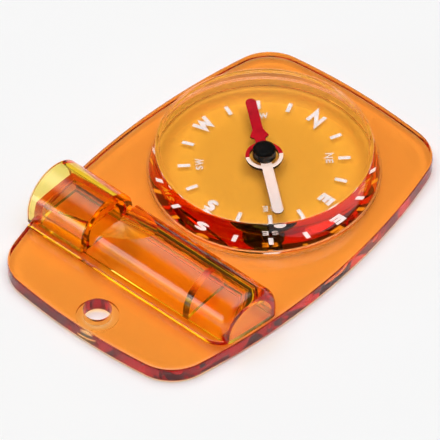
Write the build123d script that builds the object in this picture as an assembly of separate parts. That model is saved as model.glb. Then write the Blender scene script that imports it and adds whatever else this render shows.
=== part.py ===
from build123d import *
import os

# Baseplate compass with a built-in pealess whistle, in millimetres.
# Origin: under the middle of the plate, on its flat underside. +Y is the dial's north and the
# plate's long axis, +X is east, +Z is up out of the dial.

# --- driving dimensions -----------------------------------------------------------------------
PLATE_LENGTH = 75.0
PLATE_WIDTH = 50.4
PLATE_THICKNESS = 3.0
LONG_SIDE_ARC = 127.0       # the long sides bow outwards
SHORT_SIDE_ARC = 118.0      # and so do the short ones, a little
CORNER_RADIUS = 8.2
EDGE_ROUND = 0.45

LANYARD_Y = -32.5
LANYARD_RADIUS = 2.5
LANYARD_RECESS_RADIUS = 3.75  # shallow round recess at the underside
LANYARD_RECESS_DEPTH = 0.4

CAPSULE_X = -0.4
CAPSULE_Y = 11.7
SEAT_RADIUS = 19.9          # the hole right through the plate that the capsule sits in
FLOOR_RECESS = 0.1          # capsule's underside above the plate's
FIT_GAP = 0.05              # air left round every piece that is glued in

DOME_SKIRT_RADIUS = SEAT_RADIUS - FIT_GAP
DOME_FLANGE_RADIUS = 20.7
DOME_FLANGE_HEIGHT = 0.4
DOME_FOOT_RADIUS = 20.3
DOME_RIM_RADIUS = 19.15
DOME_HEIGHT = 5.9           # rim above the plate's top face
DOME_LIP = 0.3              # how far the rim stands above the flat window
DOME_LIP_WIDTH = 0.75
DOME_ROOF = 0.5
CAVITY_FLOOR_RADIUS = 18.9
CAVITY_ROOF_RADIUS = 18.1

FLOOR_THICKNESS = 1.2
PRINT_THICKNESS = 0.05
TICK_RADIUS = 14.3
TICK_SIZE = (0.72, 2.2)
CARDINAL_HEIGHT = 2.7
CARDINAL_STROKE = 0.74
INTERCARDINAL_RADIUS = 11.6
INTERCARDINAL_HEIGHT = 1.3
INTERCARDINAL_STROKE = 0.24

NEEDLE_ANGLE = 51.0         # rest pose: north tip this far anticlockwise from the dial's N
NEEDLE_REACH = 14.35
NEEDLE_WIDTH = 1.9
NEEDLE_THICKNESS = 0.4
NEEDLE_HEIGHT = 0.95        # blade's underside above the plate's top face
SHOULDER_WIDTH = 3.4        # the north arm flares to this and steps back before the ring
SHOULDER_START = 4.3
SHOULDER_WIDEST = 4.9
SHOULDER_END = 6.6
RING_OUTER = 3.35
RING_INNER = 2.65
HUB_RADIUS = 1.85
COAT = 0.05
MAGNET_THICKNESS = 0.75
CAP_RADIUS = 2.05
CAP_HEIGHT = 3.5
CAP_ROUND = 0.7
PIN_RADIUS = 0.28
PIN_CLEARANCE = 0.45
JEWEL_RADIUS = 0.95
JEWEL_HEIGHT = 2.4
POST_RADIUS = 1.5

WHISTLE_Y = -18.5
MOUTH_X = -23.2
NOTCH_X = -10.4             # upright face at the end of the mouthpiece
NOTCH_FOOT_X = -9.4
NOTCH_FLOOR = 1.2           # above the plate's top face
LABIUM_X = -7.8             # the edge that the air jet strikes
LABIUM_HEIGHT = 5.5
RAMP_TOP_X = 0.7
PARTITION_X = 12.0
PARTITION_THICKNESS = 1.3
MOUTH_RADIUS = 6.65
MOUTH_SPRING = 1.95         # height of the straight sides below the round top
CHAMBER_RADIUS = 6.2
CHAMBER_SPRING = 1.75
BORE_RADIUS = 4.6
BORE_SPRING = 1.0
WALL = 1.4
WINDWAY_MOUTH = 4.0         # the windway's floor climbs from this height at the mouth
WINDWAY_FLOOR = 5.8         # to this one at the notch
FIPPLE_INSET = 1.2          # from the mouth's end
FIPPLE_WALL = 1.2
FLANGE_HEIGHT = 0.7
FLANGE_WIDTH = 15.0
FLANGE_CORNER = 4.0
END_ROUND = 2.0

FILLER_RADIUS = 0.9
FILLER_PLACE = (0.0, -15.9)  # from the capsule's centre

# --- derived levels ---------------------------------------------------------------------------
TOP = PLATE_THICKNESS
WHISTLE_BASE = TOP + FIT_GAP
DIAL_FACE = FLOOR_RECESS + FLOOR_THICKNESS
SKIRT_BOTTOM = DIAL_FACE + FIT_GAP
ROOF_TOP = TOP + DOME_HEIGHT - DOME_LIP
CEILING = ROOF_TOP - DOME_ROOF
BLADE_BOTTOM = TOP + NEEDLE_HEIGHT
BLADE_TOP = BLADE_BOTTOM + NEEDLE_THICKNESS
CAPSULE = Pos(CAPSULE_X, CAPSULE_Y, 0)


def disc(radius, bottom, top):
    """An upright cylinder between two heights."""
    return Pos(0, 0, bottom) * extrude(Circle(radius), top - bottom)


def ring(outer, inner, bottom, top):
    return disc(outer, bottom, top) - disc(inner, bottom - 1, top + 1)


def turned(points):
    """A solid of revolution about Z from (radius, height) points."""
    return revolve(make_face(Plane.XZ * Polyline(*points, close=True)), Axis.Z)


# --- base plate -------------------------------------------------------------------------------
def plate_outline(inset=0.0):
    """Two pairs of shallow arcs, met by round corners."""
    long_centre = PLATE_WIDTH / 2 - LONG_SIDE_ARC
    short_centre = PLATE_LENGTH / 2 - SHORT_SIDE_ARC
    outline = Pos(long_centre, 0) * Circle(LONG_SIDE_ARC - inset)
    outline &= Pos(-long_centre, 0) * Circle(LONG_SIDE_ARC - inset)
    outline &= Pos(0, short_centre) * Circle(SHORT_SIDE_ARC - inset)
    outline &= Pos(0, -short_centre) * Circle(SHORT_SIDE_ARC - inset)
    return fillet(outline.vertices(), CORNER_RADIUS - inset)


def within_sides(solid, inset):
    """What is left of a solid inside the plate's sides."""
    return solid & extrude(plate_outline(inset), 30)


def lanyard_hole():
    """A straight hole with a shallow round recess at the underside."""
    recess = disc(LANYARD_RECESS_RADIUS, -1, LANYARD_RECESS_DEPTH)
    return Pos(0, LANYARD_Y, 0) * (disc(LANYARD_RADIUS, -1, TOP + 1) + recess)


def base_plate():
    plate = extrude(plate_outline(), PLATE_THICKNESS)
    faces = plate.faces().sort_by(Axis.Z)
    rims = faces[-1].edges() + faces[0].edges()
    plate = fillet(rims, EDGE_ROUND)
    plate -= CAPSULE * disc(SEAT_RADIUS, -1, TOP + 1)
    return plate - lanyard_hole()


# --- whistle ----------------------------------------------------------------------------------
def arch(radius, spring, start, stop):
    """A D-section bar along X, standing on the glue line over the plate."""
    section = Pos(WHISTLE_Y, WHISTLE_BASE + spring) * Circle(radius)
    section += Pos(WHISTLE_Y, WHISTLE_BASE + spring / 2) * Rectangle(2 * radius, spring)
    section &= Pos(WHISTLE_Y, WHISTLE_BASE + 20) * Rectangle(40, 40)
    return Pos(start, 0, 0) * extrude(Plane.YZ * section, stop - start)


def notch():
    """The sound window: an upright face towards the mouth, the labium and the long ramp behind it."""
    crest = TOP + MOUTH_SPRING + MOUTH_RADIUS + 1
    labium = WHISTLE_BASE + LABIUM_HEIGHT
    ramp_top = WHISTLE_BASE + CHAMBER_SPRING + CHAMBER_RADIUS
    slope = (RAMP_TOP_X - LABIUM_X) / (ramp_top - labium)
    side = Polyline(
        (NOTCH_X, crest), (NOTCH_X, TOP + NOTCH_FLOOR), (NOTCH_FOOT_X, TOP + NOTCH_FLOOR),
        (LABIUM_X, labium), (RAMP_TOP_X + slope * (crest - ramp_top), crest), close=True)
    wedge = extrude(make_face(Plane.XZ * side), 20, both=True)
    return Pos(0, WHISTLE_Y, 0) * wedge


def whistle_flange():
    """The low flange that the whistle is glued down by, trimmed to the plate's sides."""
    length = PLATE_WIDTH / 2 - MOUTH_X
    foot = Pos(MOUTH_X + length / 2, WHISTLE_Y) * Rectangle(length, FLANGE_WIDTH)
    foot &= plate_outline(EDGE_ROUND)
    foot = fillet(foot.vertices().sort_by(Axis.X)[-2:], FLANGE_CORNER)
    flange = Pos(0, 0, WHISTLE_BASE) * extrude(foot, FLANGE_HEIGHT)
    return fillet(flange.faces().sort_by(Axis.Z)[-1].edges(), FLANGE_HEIGHT / 2)


def chamber_body(radius, spring, start, inset):
    """A D-section bar that ends flush with the plate's right side, or inside it."""
    return within_sides(arch(radius, spring, start, PLATE_WIDTH / 2), inset)


def whistle_barrel():
    mouthpiece = arch(MOUTH_RADIUS, MOUTH_SPRING, MOUTH_X, NOTCH_X)
    lip = mouthpiece.faces().sort_by(Axis.X)[0].edges().filter_by(GeomType.CIRCLE)
    mouthpiece = fillet(lip, EDGE_ROUND)
    chamber = chamber_body(CHAMBER_RADIUS, CHAMBER_SPRING, NOTCH_X, EDGE_ROUND)
    crown = chamber.faces().sort_by(Axis.X)[-1].edges()
    crown = crown.filter_by(lambda edge: edge.center().Z > WHISTLE_BASE + 0.01)
    chamber = fillet(crown, END_ROUND)
    barrel = mouthpiece + chamber + whistle_flange()
    barrel -= arch(MOUTH_RADIUS - WALL, MOUTH_SPRING, MOUTH_X - 1, NOTCH_X)
    barrel -= chamber_body(BORE_RADIUS, BORE_SPRING, NOTCH_X - FIT_GAP, EDGE_ROUND + WALL)
    return barrel - notch()


def under_windway(solid, drop=0.0):
    """What is left of a solid below the windway's sloping floor, or a drop further down."""
    low = WHISTLE_BASE + WINDWAY_MOUTH - drop
    high = WHISTLE_BASE + WINDWAY_FLOOR - drop
    side = Polyline((MOUTH_X, low), (NOTCH_X, high), (NOTCH_X, 30), (MOUTH_X, 30), close=True)
    above = extrude(make_face(Plane.XZ * side), 20, both=True)
    return solid - Pos(0, WHISTLE_Y, 0) * above


def whistle_fipple():
    """The block in the mouthpiece; the gap over its sloping top is the windway. It is cored from below."""
    start = MOUTH_X + FIPPLE_INSET
    core_radius = MOUTH_RADIUS - WALL - FIT_GAP - FIPPLE_WALL
    block = arch(MOUTH_RADIUS - WALL - FIT_GAP, MOUTH_SPRING, start, NOTCH_X)
    core = arch(core_radius, MOUTH_SPRING, start + FIPPLE_WALL, NOTCH_X - FIPPLE_WALL)
    return under_windway(block) - under_windway(core, FIPPLE_WALL)


def chamber_partition():
    """The D-shaped wall that ends the sound chamber; the barrel is empty behind it."""
    end = PARTITION_X + PARTITION_THICKNESS
    return arch(BORE_RADIUS - FIT_GAP, BORE_SPRING, PARTITION_X, end)


# --- capsule ----------------------------------------------------------------------------------
def capsule_dome():
    """Skirt, flange, tapering wall and flat window, all one moulding."""
    flange_top = TOP + DOME_FLANGE_HEIGHT
    rim = TOP + DOME_HEIGHT
    lip_inner = DOME_RIM_RADIUS - DOME_LIP_WIDTH
    outside = turned([
        (0, SKIRT_BOTTOM), (DOME_SKIRT_RADIUS, SKIRT_BOTTOM), (DOME_SKIRT_RADIUS, TOP + FIT_GAP),
        (DOME_FLANGE_RADIUS, TOP + FIT_GAP), (DOME_FLANGE_RADIUS, flange_top),
        (DOME_FOOT_RADIUS, flange_top), (DOME_RIM_RADIUS, rim), (lip_inner, rim),
        (lip_inner, ROOF_TOP), (0, ROOF_TOP),
    ])
    rim_edges = outside.edges().filter_by(lambda edge: abs(edge.center().Z - rim) < 0.01)
    outside = fillet(rim_edges, DOME_LIP - 0.02)
    cavity = turned([
        (0, SKIRT_BOTTOM - 1), (CAVITY_FLOOR_RADIUS, SKIRT_BOTTOM - 1),
        (CAVITY_FLOOR_RADIUS, SKIRT_BOTTOM), (CAVITY_ROOF_RADIUS, CEILING), (0, CEILING),
    ])
    roof_edges = cavity.edges().filter_by(lambda edge: abs(edge.center().Z - CEILING) < 0.01)
    cavity = fillet(roof_edges.filter_by(GeomType.CIRCLE), 0.7)
    return CAPSULE * (outside - cavity)


def filler_hole(radius):
    return Pos(*FILLER_PLACE, 0) * disc(radius, FLOOR_RECESS, DIAL_FACE)


def capsule_floor():
    floor = disc(DOME_SKIRT_RADIUS, FLOOR_RECESS, DIAL_FACE)
    floor -= filler_hole(FILLER_RADIUS)
    return CAPSULE * floor


def filler_plug():
    return CAPSULE * filler_hole(FILLER_RADIUS - FIT_GAP)


# --- printing on the dial ---------------------------------------------------------------------
def stroke(points, width):
    """A pen stroke of even width through points."""
    return trace(Polyline(*points), line_width=width)


def letter_n(height, width):
    side = height * 0.38
    half = height / 2
    return stroke([(-side, -half), (-side, half), (side, -half), (side, half)], width)


def letter_e(height, width):
    side = height * 0.3
    half = (height - width) / 2
    return (stroke([(side, half), (-side, half), (-side, -half), (side, -half)], width)
            + stroke([(-side, 0), (side * 0.8, 0)], width))


def letter_w(height, width):
    side = height * 0.52
    half = height / 2
    return stroke([(-side, half), (-side / 2, -half + width / 2), (0, half - width),
                   (side / 2, -half + width / 2), (side, half)], width)


def letter_s(height, width):
    """Two three-quarter arcs, one over the other."""
    bend = (height - width) / 4
    path = CenterArc((0, bend), bend, 20, 250) + CenterArc((0, -bend), bend, 90, -250)
    return scale(trace(path, line_width=width), (1.2, 1, 1))


GLYPHS = {"N": letter_n, "E": letter_e, "S": letter_s, "W": letter_w}


def word(text, height, width):
    """Letters side by side, centred."""
    pitch = height * 1.12
    start = -pitch * (len(text) - 1) / 2
    shapes = [Pos(start + pitch * place, 0) * GLYPHS[letter](height, width)
              for place, letter in enumerate(text)]
    return shapes


def printed(faces, bearing, radius):
    """Faces as ink on the dial, at a bearing in degrees clockwise from north, tops outwards."""
    place = CAPSULE * Rot(0, 0, -bearing) * Pos(0, radius, DIAL_FACE)
    return [place * extrude(face, PRINT_THICKNESS) for face in faces]


def dial_ticks():
    """Twelve bars: every sixteenth of the circle that has no large letter."""
    bearings = [22.5 * step for step in range(16) if step % 4]
    bars = []
    for bearing in bearings:
        bars += printed([Rectangle(*TICK_SIZE)], bearing, TICK_RADIUS)
    return Compound(children=bars)


def dial_letters(names, radius, height, width):
    solids = []
    for name, bearing in names:
        for ink in printed(word(name, height, width), bearing, radius):
            solids += ink.solids()
    return Compound(children=solids)


def dial_cardinals():
    names = zip("NESW", range(0, 360, 90))
    return dial_letters(names, TICK_RADIUS, CARDINAL_HEIGHT, CARDINAL_STROKE)


def dial_intercardinals():
    names = zip(("NE", "SE", "SW", "NW"), range(45, 360, 90))
    return dial_letters(names, INTERCARDINAL_RADIUS, INTERCARDINAL_HEIGHT, INTERCARDINAL_STROKE)


# --- pivot ------------------------------------------------------------------------------------
JEWEL_TOP = BLADE_TOP + JEWEL_HEIGHT
JEWEL_SEAT = JEWEL_TOP - 0.35    # deepest point of the jewel's cup
PIN_TIP = JEWEL_SEAT - 0.03
PIN_FOOT = DIAL_FACE + 0.15
POST_TOP = BLADE_BOTTOM - MAGNET_THICKNESS - 0.15


def pivot_post():
    foot = DIAL_FACE + FIT_GAP
    post = turned([
        (0, foot), (POST_RADIUS, foot), (POST_RADIUS * 0.6, POST_TOP), (0, POST_TOP),
    ])
    return CAPSULE * (post - disc(PIN_RADIUS, PIN_FOOT, POST_TOP + 1))


def pivot_pin():
    pin = turned([
        (0, PIN_FOOT), (PIN_RADIUS, PIN_FOOT), (PIN_RADIUS, PIN_TIP - 0.7),
        (0.04, PIN_TIP), (0, PIN_TIP),
    ])
    return CAPSULE * pin


# --- needle, drawn pointing north and then turned ---------------------------------------------
NEEDLE = CAPSULE * Rot(0, 0, NEEDLE_ANGLE)


def needle_outline():
    """Hub, open ring and two round-ended arms; the north arm has a flared shoulder near the ring."""
    side = SHOULDER_WIDTH / 2
    neck = NEEDLE_WIDTH / 2
    shoulder = Polyline(
        (-neck, SHOULDER_START), (-side, SHOULDER_WIDEST), (-neck, SHOULDER_END),
        (neck, SHOULDER_END), (side, SHOULDER_WIDEST), (neck, SHOULDER_START), close=True)
    outline = Circle(RING_OUTER) - Circle(RING_INNER)
    outline += Circle(HUB_RADIUS)
    outline += SlotOverall(2 * NEEDLE_REACH, NEEDLE_WIDTH, rotation=90)
    outline += make_face(shoulder)
    return outline - Circle(PIN_RADIUS + PIN_CLEARANCE)


def needle_blade():
    return NEEDLE * Pos(0, 0, BLADE_BOTTOM) * extrude(needle_outline(), NEEDLE_THICKNESS)


def needle_coat(side):
    """The paint on one half of the blade's top: side is 1 for north and -1 for south."""
    reach = NEEDLE_REACH + 1
    half = needle_outline() & Pos(0, side * reach / 2) * Rectangle(2 * reach, reach)
    half -= Circle(CAP_RADIUS + FIT_GAP)
    return NEEDLE * Pos(0, 0, BLADE_TOP) * extrude(half, COAT)


def needle_magnet():
    return NEEDLE * ring(RING_OUTER - 0.1, RING_INNER, BLADE_BOTTOM - MAGNET_THICKNESS, BLADE_BOTTOM)


def jewel_cup():
    """A hard bearing with a conical seat that rides on the pin's point."""
    cup = disc(JEWEL_RADIUS, BLADE_TOP, JEWEL_TOP)
    seat = turned([
        (0, BLADE_TOP - 1), (PIN_RADIUS + PIN_CLEARANCE, BLADE_TOP - 1),
        (PIN_RADIUS + PIN_CLEARANCE, BLADE_TOP), (0.08, JEWEL_SEAT), (0, JEWEL_SEAT),
    ])
    return NEEDLE * (cup - seat)


def needle_cap():
    """The domed cap that holds the jewel on the blade."""
    cap = disc(CAP_RADIUS, BLADE_TOP, BLADE_TOP + CAP_HEIGHT)
    crown = cap.faces().sort_by(Axis.Z)[-1].edges()
    cap = fillet(crown, CAP_ROUND)
    return NEEDLE * (cap - disc(JEWEL_RADIUS, BLADE_TOP - 1, JEWEL_TOP))


NODES = {
    "base_plate": base_plate,
    "whistle_barrel": whistle_barrel,
    "whistle_fipple": whistle_fipple,
    "chamber_partition": chamber_partition,
    "capsule_dome": capsule_dome,
    "capsule_floor": capsule_floor,
    "filler_plug": filler_plug,
    "dial_ticks": dial_ticks,
    "dial_cardinals": dial_cardinals,
    "dial_intercardinals": dial_intercardinals,
    "pivot_post": pivot_post,
    "pivot_pin": pivot_pin,
    "needle_blade": needle_blade,
    "needle_red_coat": lambda: needle_coat(1),
    "needle_white_coat": lambda: needle_coat(-1),
    "needle_magnet": needle_magnet,
    "jewel_cup": jewel_cup,
    "needle_cap": needle_cap,
}

os.makedirs("parts", exist_ok=True)
for name, make in NODES.items():
    export_step(make(), f"parts/{name}.step")
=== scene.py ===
import math

import bmesh
import bpy
from mathutils import Matrix, Vector


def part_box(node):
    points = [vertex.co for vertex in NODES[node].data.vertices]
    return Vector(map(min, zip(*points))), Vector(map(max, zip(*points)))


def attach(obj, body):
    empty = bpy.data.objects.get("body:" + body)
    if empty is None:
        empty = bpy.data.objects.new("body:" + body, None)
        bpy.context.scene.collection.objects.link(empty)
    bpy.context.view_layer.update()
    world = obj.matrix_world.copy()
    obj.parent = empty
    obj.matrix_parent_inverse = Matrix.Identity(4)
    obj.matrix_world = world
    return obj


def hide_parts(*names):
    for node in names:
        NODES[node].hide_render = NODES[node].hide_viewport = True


# Looks of the baseplate compass: metres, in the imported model's own frame.

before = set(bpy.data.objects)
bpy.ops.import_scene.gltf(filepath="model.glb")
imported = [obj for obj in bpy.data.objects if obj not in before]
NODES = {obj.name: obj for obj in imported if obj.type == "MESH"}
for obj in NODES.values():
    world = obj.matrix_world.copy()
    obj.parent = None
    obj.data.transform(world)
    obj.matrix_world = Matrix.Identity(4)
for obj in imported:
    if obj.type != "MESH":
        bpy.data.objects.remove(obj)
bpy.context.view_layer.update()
MM = 0.001

# --- places taken from the frame ----------------------------------------------------------------
PLATE_LOW, PLATE_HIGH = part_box("base_plate")
PLATE_TOP = PLATE_HIGH.z
DOME_LOW, DOME_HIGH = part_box("capsule_dome")
CAPSULE = (DOME_LOW + DOME_HIGH) / 2

# --- the capsule's section, as in the CAD --------------------------------------------------------
FIT_GAP = 0.05 * MM
FLANGE_HEIGHT = 0.4 * MM
SKIRT_INSET = 0.85 * MM     # how far each circle lies inside the flange's
FOOT_INSET = 0.4 * MM
RIM_INSET = 1.55 * MM
LIP_WIDTH = 0.75 * MM
LIP_HEIGHT = 0.3 * MM
SHARP_EDGE = 0.1 * MM       # setbacks of the rounded edges
SMALL_EDGE = 0.12 * MM
WINDOW_EDGE = 0.15 * MM
RIM_EDGE = 0.28 * MM
FLANGE_RADIUS = (DOME_HIGH.x - DOME_LOW.x) / 2
FLANGE_TOP = PLATE_TOP + FLANGE_HEIGHT
SKIRT_RADIUS = FLANGE_RADIUS - SKIRT_INSET + FIT_GAP / 2    # reaches halfway into the glue gap
FOOT_RADIUS = FLANGE_RADIUS - FOOT_INSET
RIM_RADIUS = FLANGE_RADIUS - RIM_INSET

# --- optics --------------------------------------------------------------------------------------
PLASTIC_IOR = 1.49
MATCHED_IOR = 1.0           # a face with clear plastic or liquid of the same index on both sides
WET = 0.06                  # gloss of a surface under the liquid, where little light is reflected
PLATE_DYE = (11, 180, 500)      # red, green and blue light absorbed, per metre
WHISTLE_DYE = (8, 125, 1000)    # less green absorbed, so it is yellow where it is thin
DIAL_DYE = (20, 330, 1200)      # the thin disc is dyed more strongly
DYE_HEADROOM = 1.01             # keeps every channel of a dye's colour above zero
HAZE = 0.03                     # most roughness that handling gives the clear mouldings
HAZE_PATCH = 2.5 * MM
RIPPLE_PATCH = 6 * MM
RIPPLE_HEIGHT = 0.006 * MM
WHITE_PAINTED_GLOW = 0.22               # painted light: a faint glow that brightens the white ink, making up for the brightness that white loses under the liquid

# --- camera --------------------------------------------------------------------------------------
VIEW_AZIMUTH = math.radians(41.1)
VIEW_ELEVATION = math.radians(46.4)
VIEW_DISTANCE = 0.9
LENS = 422
SENSOR_WIDTH = 36
CLIP_START = 0.05
CLIP_END = 100
AIM_RIGHT = -0.37 * MM
AIM_UP = -2.48 * MM


def view_axes():
    """The camera's right, up and backward directions."""
    level = math.cos(VIEW_ELEVATION)
    side = math.sin(VIEW_AZIMUTH) * level
    front = math.cos(VIEW_AZIMUTH) * level
    back = Vector((side, -front, math.sin(VIEW_ELEVATION)))
    right = Vector((math.cos(VIEW_AZIMUTH), math.sin(VIEW_AZIMUTH), 0))
    return right, back.cross(right), back


def camera():
    right, up, back = view_axes()
    data = bpy.data.cameras.new("camera")
    data.lens = LENS
    data.sensor_width = SENSOR_WIDTH
    data.clip_start = CLIP_START
    data.clip_end = CLIP_END
    obj = bpy.data.objects.new("camera", data)
    obj.matrix_world = Matrix((right, up, back)).transposed().to_4x4()
    target = Vector((0, 0, PLATE_TOP)) + AIM_RIGHT * right + AIM_UP * up
    obj.matrix_world.translation = target + back * VIEW_DISTANCE
    bpy.context.scene.collection.objects.link(obj)
    bpy.context.scene.camera = obj


# --- materials -----------------------------------------------------------------------------------
def material(name):
    mat = bpy.data.materials.new(name)
    mat.use_nodes = True
    return mat, mat.node_tree, mat.node_tree.nodes["Principled BSDF"]


def noise(tree, size, detail=3.0):
    """Noise over the object's own metres; size is the width of its patches."""
    coords = tree.nodes.new("ShaderNodeTexCoord")
    node = tree.nodes.new("ShaderNodeTexNoise")
    node.inputs["Scale"].default_value = 1 / size
    node.inputs["Detail"].default_value = detail
    tree.links.new(coords.outputs["Object"], node.inputs["Vector"])
    return node.outputs["Fac"]


def ramp(tree, value, low, high, target, start=0.35, stop=0.7):
    """Maps noise from start to stop onto low to high, into a shader socket."""
    node = tree.nodes.new("ShaderNodeMapRange")
    node.inputs["From Min"].default_value = start
    node.inputs["From Max"].default_value = stop
    node.inputs["To Min"].default_value = low
    node.inputs["To Max"].default_value = high
    tree.links.new(value, node.inputs["Value"])
    tree.links.new(node.outputs["Result"], target)


def bump(tree, shader, value, height):
    node = tree.nodes.new("ShaderNodeBump")
    node.inputs["Distance"].default_value = height
    tree.links.new(value, node.inputs["Height"])
    tree.links.new(node.outputs["Normal"], shader.inputs["Normal"])


def moulded(name, ior, dye=None):
    """Transparent moulding: polished, with faint flow ripples, handling haze and maybe a dye."""
    mat, tree, shader = material(name)
    shader.inputs["Base Color"].default_value = (1, 1, 1, 1)
    shader.inputs["IOR"].default_value = ior
    shader.inputs["Transmission Weight"].default_value = 1.0
    ramp(tree, noise(tree, HAZE_PATCH), 0.0, HAZE, shader.inputs["Roughness"], 0.5, 0.8)
    bump(tree, shader, noise(tree, RIPPLE_PATCH, 1.0), RIPPLE_HEIGHT)
    if dye:
        density = DYE_HEADROOM * max(dye)
        volume = tree.nodes.new("ShaderNodeVolumeAbsorption")
        volume.inputs["Color"].default_value = (*[1 - part / density for part in dye], 1)
        volume.inputs["Density"].default_value = density
        tree.links.new(volume.outputs[0], tree.nodes["Material Output"].inputs["Volume"])
    return mat


def opaque(name, dark, light, size, roughness, height, metallic=0.0, gloss=0.5, painted_glow=0.0):
    """Colour that varies between two tones over patches of a size, with a fine surface and, if a glow
    strength is given, painted light as a faint glow.
    """
    mat, tree, shader = material(name)
    shader.inputs["Specular IOR Level"].default_value = gloss
    shader.inputs["Metallic"].default_value = metallic
    value = noise(tree, size)
    mix = tree.nodes.new("ShaderNodeValToRGB")
    mix.color_ramp.elements[0].position = 0.3
    mix.color_ramp.elements[0].color = (*dark, 1)
    mix.color_ramp.elements[1].position = 0.7
    mix.color_ramp.elements[1].color = (*light, 1)
    tree.links.new(value, mix.inputs["Fac"])
    tree.links.new(mix.outputs["Color"], shader.inputs["Base Color"])
    ramp(tree, value, roughness * 0.8, roughness * 1.25, shader.inputs["Roughness"])
    bump(tree, shader, noise(tree, size / 4), height)
    # painted light: emission on a surface that is no lamp
    if painted_glow:
        shader.inputs["Emission Color"].default_value = (1, 1, 1, 1)
        shader.inputs["Emission Strength"].default_value = painted_glow
    return mat


def dress(mat, *nodes):
    for node in nodes:
        NODES[node].data.materials.clear()
        NODES[node].data.materials.append(mat)


# --- mesh helpers --------------------------------------------------------------------------------
def softened(corners, steps=4):
    """(radius, height, setback) corners, with a short curve in place of each that has a setback."""
    points = []
    for index, (radius, height, setback) in enumerate(corners):
        corner = Vector((radius, height))
        if not setback:
            points.append(corner)
            continue
        ends = []
        for side in (index - 1, index + 1):
            away = Vector(corners[side][:2]) - corner
            ends.append(corner + away.normalized() * setback)
        for step in range(steps + 1):
            along = step / steps
            spot = ends[0] * (1 - along) ** 2 + corner * 2 * along * (1 - along) + ends[1] * along ** 2
            points.append(spot)
    return points


def turned(name, corners, steps=240):
    """A closed solid of revolution on the capsule's axis."""
    bm = bmesh.new()
    rings = []
    for radius, height in softened(corners):
        count = steps if radius > 1e-6 else 1
        circle = []
        for k in range(count):
            angle = 2 * math.pi * k / count
            x = CAPSULE.x + radius * math.cos(angle)
            y = CAPSULE.y + radius * math.sin(angle)
            circle.append(bm.verts.new((x, y, height)))
        rings.append(circle)
    for low, high in zip(rings, rings[1:]):
        for k in range(steps):
            following = (k + 1) % steps
            loop = [
                low[k % len(low)],
                high[k % len(high)],
                high[following % len(high)],
                low[following % len(low)],
            ]
            bm.faces.new(dict.fromkeys(loop))   # a ring of one point gives a triangle
    return finished(name, bm)


def finished(name, bm, sharp=30):
    """Turns a bmesh into a linked object with smooth shading between sharp edges."""
    bmesh.ops.recalc_face_normals(bm, faces=bm.faces)
    mesh = bpy.data.meshes.new(name)
    bm.to_mesh(mesh)
    bm.free()
    mesh.shade_smooth()
    mesh.set_sharp_from_angle(angle=math.radians(sharp))
    obj = bpy.data.objects.new(name, mesh)
    bpy.context.scene.collection.objects.link(obj)
    return obj


def place(obj, body, slot, mat, *nodes):
    """Gives a piece its material and its body and hides the CAD nodes that it stands for; the finish
    slot argument is not used.
    """
    obj.data.materials.append(mat)
    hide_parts(*nodes)
    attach(obj, body)


# --- capsule -------------------------------------------------------------------------------------
def dome(mat):
    """The clear moulding and the liquid that fills it: they bend light alike, so they are one body."""
    rim = DOME_HIGH.z
    roof = rim - LIP_HEIGHT
    foot = PLATE_TOP + FIT_GAP
    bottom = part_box("capsule_floor")[0].z - FIT_GAP / 2
    piece = turned("dome_and_liquid", [
        (0, roof, 0),
        (RIM_RADIUS - LIP_WIDTH, roof, WINDOW_EDGE),
        (RIM_RADIUS - LIP_WIDTH, rim, SMALL_EDGE),
        (RIM_RADIUS, rim, RIM_EDGE),
        (FOOT_RADIUS, FLANGE_TOP, SMALL_EDGE),
        (FLANGE_RADIUS, FLANGE_TOP, SMALL_EDGE),
        (FLANGE_RADIUS, foot, 0),
        (SKIRT_RADIUS, foot, 0),
        (SKIRT_RADIUS, bottom, SHARP_EDGE),
        (0, bottom, 0),
    ])
    place(piece, "case", "clear_plastic", mat, "capsule_dome")


# --- stage ---------------------------------------------------------------------------------------
SOFTBOX_SIDE = Vector((-0.453, -0.875, 0.17))  # lights the whistle's near side
SOFTBOX = 4.5
CEILING_LIGHT = 3.45
WALLS = 0.06
HORIZON = 1.0               # a thin pale band, so that low views have no dark background
CEILING_SPAN = (15, 43)     # degrees from the light's middle: full up to the first, gone at the second
SOFTBOX_SPAN = (5, 9)
HORIZON_SPAN = (91.5, 93.5)     # measured from straight down
UP = Vector((0, 0, 1))
FLOOR_SIZE = 30
FLOOR_DROP = 0.2 * MM
FLOOR_TONE = 0.92
FLOOR_ROUGHNESS = 0.9
MOST_BOUNCES = 64


def patch(tree, direction, span, inside, outside=0.0):
    """A round soft patch of light about a direction, that fades out between the span's two angles."""
    inner, outer = span
    coords = tree.nodes.new("ShaderNodeTexCoord")
    dot = tree.nodes.new("ShaderNodeVectorMath")
    dot.operation = "DOT_PRODUCT"
    dot.inputs[1].default_value = direction.normalized()
    tree.links.new(coords.outputs["Generated"], dot.inputs[0])
    step = tree.nodes.new("ShaderNodeMapRange")
    step.interpolation_type = "SMOOTHSTEP"
    step.inputs["From Min"].default_value = math.cos(math.radians(outer))
    step.inputs["From Max"].default_value = math.cos(math.radians(inner))
    step.inputs["To Min"].default_value = outside
    step.inputs["To Max"].default_value = inside
    tree.links.new(dot.outputs["Value"], step.inputs["Value"])
    return step.outputs["Result"]


def room():
    """A room with dim walls, a large soft light overhead, a smaller one in front and a pale horizon."""
    world = bpy.data.worlds.new("studio")
    bpy.context.scene.world = world
    world.use_nodes = True
    tree = world.node_tree
    total = patch(tree, UP, CEILING_SPAN, CEILING_LIGHT, WALLS)
    softbox = patch(tree, SOFTBOX_SIDE, SOFTBOX_SPAN, SOFTBOX)
    horizon = patch(tree, -UP, HORIZON_SPAN, HORIZON)
    for light in (softbox, horizon):
        plus = tree.nodes.new("ShaderNodeMath")
        tree.links.new(total, plus.inputs[0])
        tree.links.new(light, plus.inputs[1])
        total = plus.outputs[0]
    tree.links.new(total, tree.nodes["Background"].inputs["Strength"])
    tree.nodes["Background"].inputs["Color"].default_value = (1, 1, 1, 1)


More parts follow.
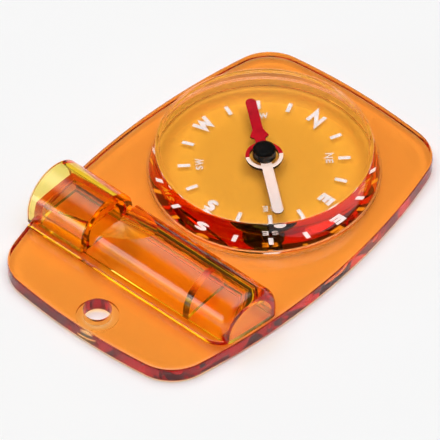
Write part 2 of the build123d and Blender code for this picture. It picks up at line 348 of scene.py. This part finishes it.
def floor():
    bm = bmesh.new()
    bmesh.ops.create_grid(bm, x_segments=2, y_segments=2, size=FLOOR_SIZE)
    obj = finished("floor", bm)
    obj.location.z = -FLOOR_DROP
    mat, tree, shader = material("floor")
    shader.inputs["Base Color"].default_value = (FLOOR_TONE, FLOOR_TONE, FLOOR_TONE, 1)
    shader.inputs["Roughness"].default_value = FLOOR_ROUGHNESS
    shader.inputs["Specular IOR Level"].default_value = 0.0
    obj.data.materials.append(mat)


def light_paths():
    scene = bpy.context.scene
    scene.view_settings.view_transform = "Standard"
    scene.cycles.max_bounces = MOST_BOUNCES
    scene.cycles.transmission_bounces = MOST_BOUNCES
    scene.cycles.glossy_bounces = MOST_BOUNCES
    scene.cycles.blur_glossy = 0.0


camera()
orange = moulded("clear_orange", PLASTIC_IOR, PLATE_DYE)
orange_whistle = moulded("clear_orange_whistle", PLASTIC_IOR, WHISTLE_DYE)
orange_in_liquid = moulded("clear_orange_in_liquid", MATCHED_IOR, DIAL_DYE)
clear = moulded("clear_plastic", PLASTIC_IOR)
# the white ink and the needle's white coat get a painted glow, which is painted light
white = opaque("white_ink", dark=(0.93, 0.93, 0.93), light=(0.98, 0.98, 0.98), size=1 * MM,
               roughness=0.5, height=0.004 * MM, gloss=WET, painted_glow=WHITE_PAINTED_GLOW)
red = opaque("red_paint", dark=(0.55, 0.004, 0.024), light=(0.68, 0.006, 0.03), size=2 * MM,
             roughness=0.35, height=0.004 * MM, gloss=WET)
black = opaque("black_plastic", dark=(0.002, 0.002, 0.002), light=(0.005, 0.005, 0.005), size=1 * MM,
               roughness=0.3, height=0.003 * MM, gloss=WET)
ferrite = opaque("ferrite", dark=(0.004, 0.004, 0.004), light=(0.01, 0.01, 0.01), size=0.4 * MM,
                 roughness=0.6, height=0.01 * MM, gloss=WET)
steel = opaque("steel", dark=(0.42, 0.42, 0.43), light=(0.58, 0.58, 0.6), size=0.3 * MM,
               roughness=0.3, height=0.002 * MM, metallic=1.0)
blued = opaque("blued_steel", dark=(0.004, 0.004, 0.005), light=(0.012, 0.012, 0.014), size=0.8 * MM,
               roughness=0.4, height=0.004 * MM, gloss=WET)
jewel = opaque("jewel", dark=(0.3, 0.01, 0.03), light=(0.4, 0.02, 0.05), size=0.3 * MM,
               roughness=0.12, height=0.001 * MM, gloss=WET)

dress(orange, "base_plate")
dress(orange_whistle, "whistle_barrel", "whistle_fipple", "chamber_partition")
dress(orange_in_liquid, "capsule_floor", "filler_plug", "pivot_post")
dress(white, "dial_ticks", "dial_cardinals", "dial_intercardinals", "needle_white_coat")
dress(red, "needle_red_coat")
dress(black, "needle_cap")
dress(ferrite, "needle_magnet")
dress(blued, "needle_blade")
dress(steel, "pivot_pin")
dress(jewel, "jewel_cup")
dome(clear)
floor()
room()
light_paths()
